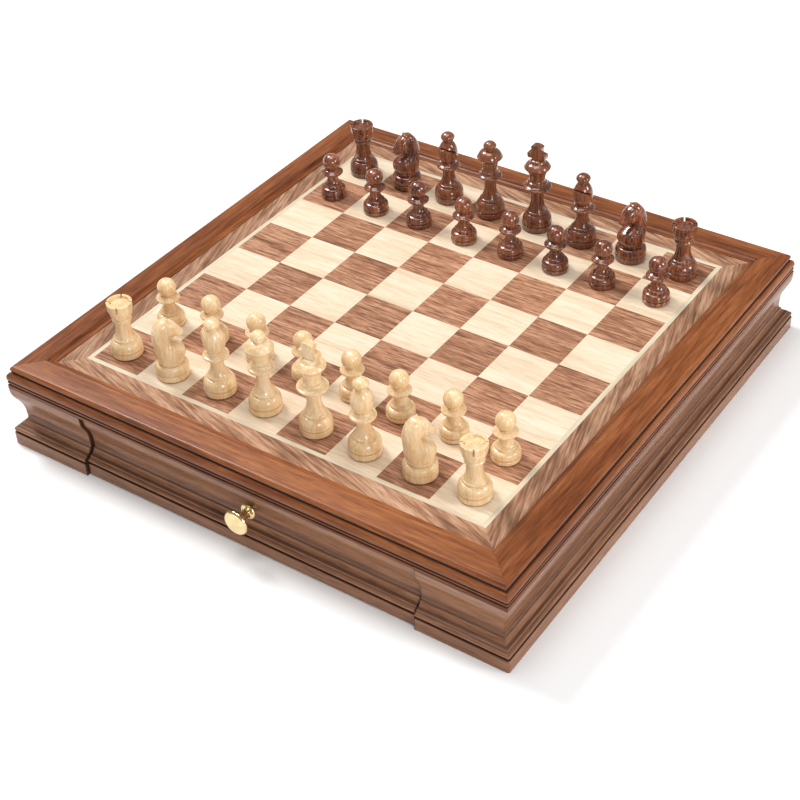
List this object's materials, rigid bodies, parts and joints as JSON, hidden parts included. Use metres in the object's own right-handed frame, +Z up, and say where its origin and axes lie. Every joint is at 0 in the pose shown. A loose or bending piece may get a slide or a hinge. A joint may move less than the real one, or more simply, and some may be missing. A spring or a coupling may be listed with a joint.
{
  "type": "chess set with board",
  "caption": "Wooden chess set standing in its opening position on an inlaid, moulded board cabinet with a brass-knobbed storage drawer in its front.",
  "frame": {"origin": "middle of the board on the underside of the case, where it stands on the table", "axes": "+Z up, the drawer opens towards -Y, the light army stands at -Y and file a is at -X"},
  "size_m": [0.3814, 0.39, 0.1262],
  "materials": {
    "maple_veneer": "satin lacquer, pale straight grain",
    "walnut_veneer": "satin lacquer, fine dark pores",
    "maple_line": "satin lacquer",
    "walnut_border": "satin lacquer, streaked heart grain",
    "frame_wood": "stained red-brown, satin lacquer",
    "case_wood": "stained brown, satin lacquer",
    "core_board": "plain sheet, matt",
    "plain_wood": "unstained, thin clear coat",
    "felt": "short napped felt",
    "polished_brass": "polished and lacquered",
    "screw_steel": "zinc plated",
    "boxwood": "pale, satin lacquer",
    "stained_wood": "stained red-brown, gloss lacquer"
  },
  "bodies": {
    "case": {"light_squares": "maple_veneer", "dark_squares": "walnut_veneer", "line_inlay": "maple_line", "veneer_border": "walnut_border", "board_panel": "core_board", "rail_front": "frame_wood", "rail_back": "frame_wood", "rail_left": "frame_wood", "rail_right": "frame_wood", "side_wall_left": "case_wood", "side_wall_right": "case_wood", "back_wall": "case_wood", "corner_block_left": "case_wood", "corner_block_right": "case_wood", "floor_panel": "core_board", "glue_blocks": "plain_wood", "drawer_guides": "plain_wood", "drawer_kickers": "plain_wood", "drawer_stop": "plain_wood"},
    "drawer": {"drawer_front": "case_wood", "drawer_side_left": "plain_wood", "drawer_side_right": "plain_wood", "drawer_back": "plain_wood", "drawer_bottom": "core_board", "drawer_lining": "felt", "drawer_divider": "plain_wood", "knob": "polished_brass", "knob_screw": "screw_steel"},
    "light_rook_a": {"light_rook_a": "boxwood"},
    "light_pawn_a": {"light_pawn_a": "boxwood"},
    "light_knight_b": {"light_knight_b": "boxwood"},
    "light_pawn_b": {"light_pawn_b": "boxwood"},
    "light_bishop_c": {"light_bishop_c": "boxwood"},
    "light_pawn_c": {"light_pawn_c": "boxwood"},
    "light_queen_d": {"light_queen_d": "boxwood"},
    "light_pawn_d": {"light_pawn_d": "boxwood"},
    "light_king_e": {"light_king_e": "boxwood"},
    "light_pawn_e": {"light_pawn_e": "boxwood"},
    "light_bishop_f": {"light_bishop_f": "boxwood"},
    "light_pawn_f": {"light_pawn_f": "boxwood"},
    "light_knight_g": {"light_knight_g": "boxwood"},
    "light_pawn_g": {"light_pawn_g": "boxwood"},
    "light_rook_h": {"light_rook_h": "boxwood"},
    "light_pawn_h": {"light_pawn_h": "boxwood"},
    "dark_rook_a": {"dark_rook_a": "stained_wood"},
    "dark_pawn_a": {"dark_pawn_a": "stained_wood"},
    "dark_knight_b": {"dark_knight_b": "stained_wood"},
    "dark_pawn_b": {"dark_pawn_b": "stained_wood"},
    "dark_bishop_c": {"dark_bishop_c": "stained_wood"},
    "dark_pawn_c": {"dark_pawn_c": "stained_wood"},
    "dark_queen_d": {"dark_queen_d": "stained_wood"},
    "dark_pawn_d": {"dark_pawn_d": "stained_wood"},
    "dark_king_e": {"dark_king_e": "stained_wood"},
    "dark_pawn_e": {"dark_pawn_e": "stained_wood"},
    "dark_bishop_f": {"dark_bishop_f": "stained_wood"},
    "dark_pawn_f": {"dark_pawn_f": "stained_wood"},
    "dark_knight_g": {"dark_knight_g": "stained_wood"},
    "dark_pawn_g": {"dark_pawn_g": "stained_wood"},
    "dark_rook_h": {"dark_rook_h": "stained_wood"},
    "dark_pawn_h": {"dark_pawn_h": "stained_wood"}
  },
  "joints": [
    {"name": "drawer_slide", "type": "slide", "parent": "case", "child": "drawer", "axis": [0, -1, 0], "range_m": [0, 0.2]},
    {"name": "light_rook_a_lift", "type": "slide", "parent": "case", "child": "light_rook_a", "axis": [0, 0, 1], "range_m": [0, 0.08]},
    {"name": "light_pawn_a_lift", "type": "slide", "parent": "case", "child": "light_pawn_a", "axis": [0, 0, 1], "range_m": [0, 0.08]},
    {"name": "light_knight_b_lift", "type": "slide", "parent": "case", "child": "light_knight_b", "axis": [0, 0, 1], "range_m": [0, 0.08]},
    {"name": "light_pawn_b_lift", "type": "slide", "parent": "case", "child": "light_pawn_b", "axis": [0, 0, 1], "range_m": [0, 0.08]},
    {"name": "light_bishop_c_lift", "type": "slide", "parent": "case", "child": "light_bishop_c", "axis": [0, 0, 1], "range_m": [0, 0.08]},
    {"name": "light_pawn_c_lift", "type": "slide", "parent": "case", "child": "light_pawn_c", "axis": [0, 0, 1], "range_m": [0, 0.08]},
    {"name": "light_queen_d_lift", "type": "slide", "parent": "case", "child": "light_queen_d", "axis": [0, 0, 1], "range_m": [0, 0.08]},
    {"name": "light_pawn_d_lift", "type": "slide", "parent": "case", "child": "light_pawn_d", "axis": [0, 0, 1], "range_m": [0, 0.08]},
    {"name": "light_king_e_lift", "type": "slide", "parent": "case", "child": "light_king_e", "axis": [0, 0, 1], "range_m": [0, 0.08]},
    {"name": "light_pawn_e_lift", "type": "slide", "parent": "case", "child": "light_pawn_e", "axis": [0, 0, 1], "range_m": [0, 0.08]},
    {"name": "light_bishop_f_lift", "type": "slide", "parent": "case", "child": "light_bishop_f", "axis": [0, 0, 1], "range_m": [0, 0.08]},
    {"name": "light_pawn_f_lift", "type": "slide", "parent": "case", "child": "light_pawn_f", "axis": [0, 0, 1], "range_m": [0, 0.08]},
    {"name": "light_knight_g_lift", "type": "slide", "parent": "case", "child": "light_knight_g", "axis": [0, 0, 1], "range_m": [0, 0.08]},
    {"name": "light_pawn_g_lift", "type": "slide", "parent": "case", "child": "light_pawn_g", "axis": [0, 0, 1], "range_m": [0, 0.08]},
    {"name": "light_rook_h_lift", "type": "slide", "parent": "case", "child": "light_rook_h", "axis": [0, 0, 1], "range_m": [0, 0.08]},
    {"name": "light_pawn_h_lift", "type": "slide", "parent": "case", "child": "light_pawn_h", "axis": [0, 0, 1], "range_m": [0, 0.08]},
    {"name": "dark_rook_a_lift", "type": "slide", "parent": "case", "child": "dark_rook_a", "axis": [0, 0, 1], "range_m": [0, 0.08]},
    {"name": "dark_pawn_a_lift", "type": "slide", "parent": "case", "child": "dark_pawn_a", "axis": [0, 0, 1], "range_m": [0, 0.08]},
    {"name": "dark_knight_b_lift", "type": "slide", "parent": "case", "child": "dark_knight_b", "axis": [0, 0, 1], "range_m": [0, 0.08]},
    {"name": "dark_pawn_b_lift", "type": "slide", "parent": "case", "child": "dark_pawn_b", "axis": [0, 0, 1], "range_m": [0, 0.08]},
    {"name": "dark_bishop_c_lift", "type": "slide", "parent": "case", "child": "dark_bishop_c", "axis": [0, 0, 1], "range_m": [0, 0.08]},
    {"name": "dark_pawn_c_lift", "type": "slide", "parent": "case", "child": "dark_pawn_c", "axis": [0, 0, 1], "range_m": [0, 0.08]},
    {"name": "dark_queen_d_lift", "type": "slide", "parent": "case", "child": "dark_queen_d", "axis": [0, 0, 1], "range_m": [0, 0.08]},
    {"name": "dark_pawn_d_lift", "type": "slide", "parent": "case", "child": "dark_pawn_d", "axis": [0, 0, 1], "range_m": [0, 0.08]},
    {"name": "dark_king_e_lift", "type": "slide", "parent": "case", "child": "dark_king_e", "axis": [0, 0, 1], "range_m": [0, 0.08]},
    {"name": "dark_pawn_e_lift", "type": "slide", "parent": "case", "child": "dark_pawn_e", "axis": [0, 0, 1], "range_m": [0, 0.08]},
    {"name": "dark_bishop_f_lift", "type": "slide", "parent": "case", "child": "dark_bishop_f", "axis": [0, 0, 1], "range_m": [0, 0.08]},
    {"name": "dark_pawn_f_lift", "type": "slide", "parent": "case", "child": "dark_pawn_f", "axis": [0, 0, 1], "range_m": [0, 0.08]},
    {"name": "dark_knight_g_lift", "type": "slide", "parent": "case", "child": "dark_knight_g", "axis": [0, 0, 1], "range_m": [0, 0.08]},
    {"name": "dark_pawn_g_lift", "type": "slide", "parent": "case", "child": "dark_pawn_g", "axis": [0, 0, 1], "range_m": [0, 0.08]},
    {"name": "dark_rook_h_lift", "type": "slide", "parent": "case", "child": "dark_rook_h", "axis": [0, 0, 1], "range_m": [0, 0.08]},
    {"name": "dark_pawn_h_lift", "type": "slide", "parent": "case", "child": "dark_pawn_h", "axis": [0, 0, 1], "range_m": [0, 0.08]}
  ]
}
